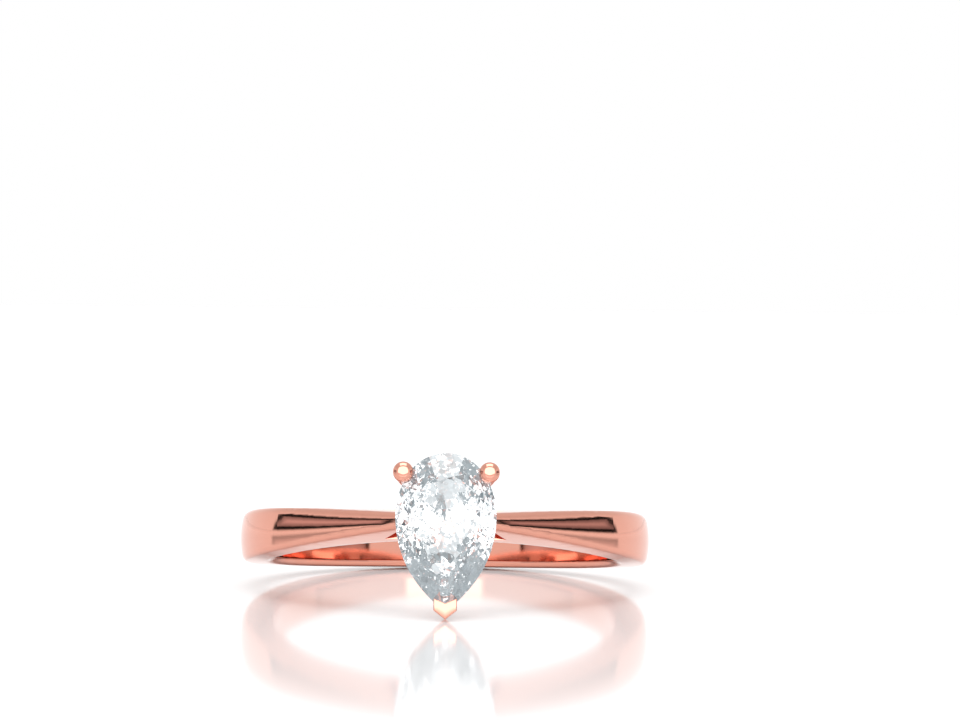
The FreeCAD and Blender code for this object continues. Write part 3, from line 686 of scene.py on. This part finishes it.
@dataclass(frozen=True)
class Card:
    """A card that faces the ring and shows only where the metal, the stone or the table mirrors it.

    Sizes and places are in millimetres; levels are brightnesses, from the middle of the card to its edge.
    """

    name: str
    centre: tuple[float, float, float]
    width: float
    height: float
    levels: tuple[tuple[float, tuple[float, float, float]], ...]
    strength: float = 1.0

    def material(self) -> bpy.types.Material:
        """Build the card's glow, which changes softly from its middle to its edge.

        Returns:
            The material.
        """
        material = bpy.data.materials.new(self.name)
        tree = NodeTree(material)
        place = tree.add("ShaderNodeTexCoord")
        parts = tree.add("ShaderNodeSeparateXYZ")
        tree.link(place, "UV", parts, "Vector")
        sides = []
        for axis in ("X", "Y"):
            offset = tree.add("ShaderNodeMath", operation="SUBTRACT")
            offset.inputs[1].default_value = 0.5
            tree.link(parts, axis, offset, 0)
            away = tree.add("ShaderNodeMath", operation="ABSOLUTE")
            tree.link(offset, 0, away, 0)
            shape = self.width / self.height if axis == "X" else 1.0
            level = tree.add("ShaderNodeMath", operation="MULTIPLY_ADD")
            level.inputs[1].default_value = 2.0 * shape
            level.inputs[2].default_value = 1.0 - shape
            tree.link(away, 0, level, 0)
            sides.append(level)
        most = tree.add("ShaderNodeMath", operation="MAXIMUM")
        for index, side in enumerate(sides):
            tree.link(side, 0, most, index)
        ramp = tree.ramp(list(self.levels), "EASE")
        tree.link(most, 0, ramp, "Fac")
        glow = tree.add("ShaderNodeEmission")
        glow.inputs["Strength"].default_value = self.strength
        tree.link(ramp, "Color", glow, "Color")
        tree.link(glow, "Emission", tree.add("ShaderNodeOutputMaterial"), "Surface")
        return material

    def build(self) -> None:
        """Stand the card upright, turned to the ring."""
        bm = bmesh.new()
        centre = Vector(self.centre)
        outward = Vector((centre.x, centre.y, 0)).normalized()
        across = Vector((-outward.y, outward.x, 0))
        layer = bm.loops.layers.uv.new("card")
        signs = ((-1, -1), (1, -1), (1, 1), (-1, 1))
        half_across, half_up = across * self.width / 2, Vector((0, 0, self.height / 2))
        corners = [bm.verts.new((centre + half_across * side + half_up * rise) * MM) for side, rise in signs]
        for loop, (side, rise) in zip(bm.faces.new(corners).loops, signs):
            loop[layer].uv = (side / 2 + 0.5, rise / 2 + 0.5)
        sheet = new_piece(self.name, bm, Shading.FACETED)
        sheet.data.materials.append(self.material())
        sheet.visible_camera = False
        sheet.visible_shadow = False
        sheet.visible_diffuse = False
        LOG.info("%s: %.0f by %.0f mm", self.name, self.width, self.height)


@dataclass
class Studio:
    """A glossy white table under a bright sky, with a framed card on each side and a light in front."""

    table: WhiteAcrylic = WhiteAcrylic()
    table_half: float = 1.5
    lamp_height: float = 0.35
    lamp_forward: float = 0.05
    lamp_width: float = 0.3
    lamp_power: float = 0.6
    sky: tuple[tuple[float, float], ...] = ((-1.0, 1.15), (0.0, 1.15), (0.3, 1.05), (0.6, 0.85), (1.0, 1.0))
    cards: tuple[Card, ...] = (
        Card("left_card", (-78.0, -10.0, 14.0), 74.0, 24.0,
             ((0.0, (0.80, 0.68, 0.70)), (0.42, (0.42, 0.36, 0.37)), (0.58, (0.004, 0.004, 0.004)),
              (0.74, (0.004, 0.004, 0.004)), (1.0, (1.0, 1.0, 1.0)))),
        Card("right_card", (78.0, -10.0, 14.0), 74.0, 24.0,
             ((0.0, (0.62, 0.52, 0.53)), (0.42, (0.30, 0.25, 0.26)), (0.58, (0.004, 0.004, 0.004)),
              (0.74, (0.004, 0.004, 0.004)), (1.0, (1.0, 1.0, 1.0)))),
        Card("front_light", (0.0, -200.0, 92.0), 240.0, 150.0,
             ((0.0, (1.0, 1.0, 1.0)), (0.7, (1.0, 1.0, 1.0)), (1.0, (0.34, 0.34, 0.34))), 3.2),
    )

    def build_table(self) -> None:
        """Lay the table under the ring."""
        bm = bmesh.new()
        bmesh.ops.create_grid(bm, x_segments=2, y_segments=2, size=self.table_half)
        table = new_piece("table_top", bm, Shading.FACETED)
        table.data.materials.append(self.table.material())

    def build_lamp(self) -> None:
        """Hang the wide lamp over the ring."""
        light = bpy.data.lights.new("soft_lamp", "AREA")
        light.shape = "RECTANGLE"
        light.size = self.lamp_width
        light.size_y = self.lamp_width
        light.energy = self.lamp_power
        lamp = bpy.data.objects.new("soft_lamp", light)
        lamp.location = (0.0, -self.lamp_forward, self.lamp_height)
        bpy.context.scene.collection.objects.link(lamp)

    def build_sky(self) -> None:
        """Make the light all round, white to the lens and graded by height for everything else."""
        world = bpy.data.worlds.new("studio_sky")
        bpy.context.scene.world = world
        tree = NodeTree(world)
        place = tree.add("ShaderNodeTexCoord")
        parts = tree.add("ShaderNodeSeparateXYZ")
        tree.link(place, "Generated", parts, "Vector")
        rise = tree.add("ShaderNodeMapRange")
        rise.inputs["From Min"].default_value = -1.0
        tree.link(parts, "Z", rise, "Value")
        ramp = tree.ramp([((height + 1) / 2, (level,) * 3) for height, level in self.sky], "LINEAR")
        tree.link(rise, "Result", ramp, "Fac")
        seen = tree.add("ShaderNodeLightPath")
        mix = tree.add("ShaderNodeMix", data_type="RGBA")
        mix.inputs["B"].default_value = (1.0, 1.0, 1.0, 1.0)
        tree.link(seen, "Is Camera Ray", mix, "Factor")
        tree.link(ramp, "Color", mix, "A")
        sky = tree.add("ShaderNodeBackground")
        tree.link(mix, "Result", sky, "Color")
        tree.link(sky, "Background", tree.add("ShaderNodeOutputWorld"), "Surface")

    def build(self) -> None:
        """Build the whole studio and set plain tones for the picture."""
        self.build_table()
        self.build_lamp()
        self.build_sky()
        for card in self.cards:
            card.build()
        bpy.context.scene.view_settings.view_transform = "Standard"


@dataclass
class Lens:
    """The camera: a long lens just above the table, in front of the head."""

    place: tuple[float, float, float] = (-0.336, -124.49, 14.749)
    yaw: float = 0.0155
    rise: float = -0.0285
    roll: float = 0.0104
    focal_length: float = 96.9
    sensor: float = 36.0
    farthest: float = 20.0

    def build(self) -> bpy.types.Object:
        """Set up the camera and make it the scene's own.

        Returns:
            The camera object.
        """
        data = bpy.data.cameras.new("camera")
        data.lens = self.focal_length
        data.sensor_width = self.sensor
        data.clip_start = MM
        data.clip_end = self.farthest
        camera = bpy.data.objects.new("camera", data)
        forward = Vector((math.sin(self.yaw) * math.cos(self.rise), math.cos(self.yaw) * math.cos(self.rise),
                          math.sin(self.rise)))
        right = Vector((math.cos(self.yaw), -math.sin(self.yaw), 0))
        up = right.cross(forward)
        across = right * math.cos(self.roll) + up * math.sin(self.roll)
        turn = Matrix((across, across.cross(forward), -forward)).transposed()
        camera.matrix_world = Matrix.Translation(Vector(self.place) * MM) @ turn.to_4x4()
        bpy.context.scene.collection.objects.link(camera)
        bpy.context.scene.camera = camera
        return camera


def main() -> None:
    """Build the ring piece by piece, then the studio and the camera."""
    logging.basicConfig(level=logging.INFO, format="%(name)s: %(message)s")
    lie = ring_to_row()
    gold = RoseGold().material()
    Band(lie, gold).build()
    SmallParts(gold).build()
    Stone(lie).dress()
    Studio().build()
    Lens().build()


if __name__ == "__main__":
    main()
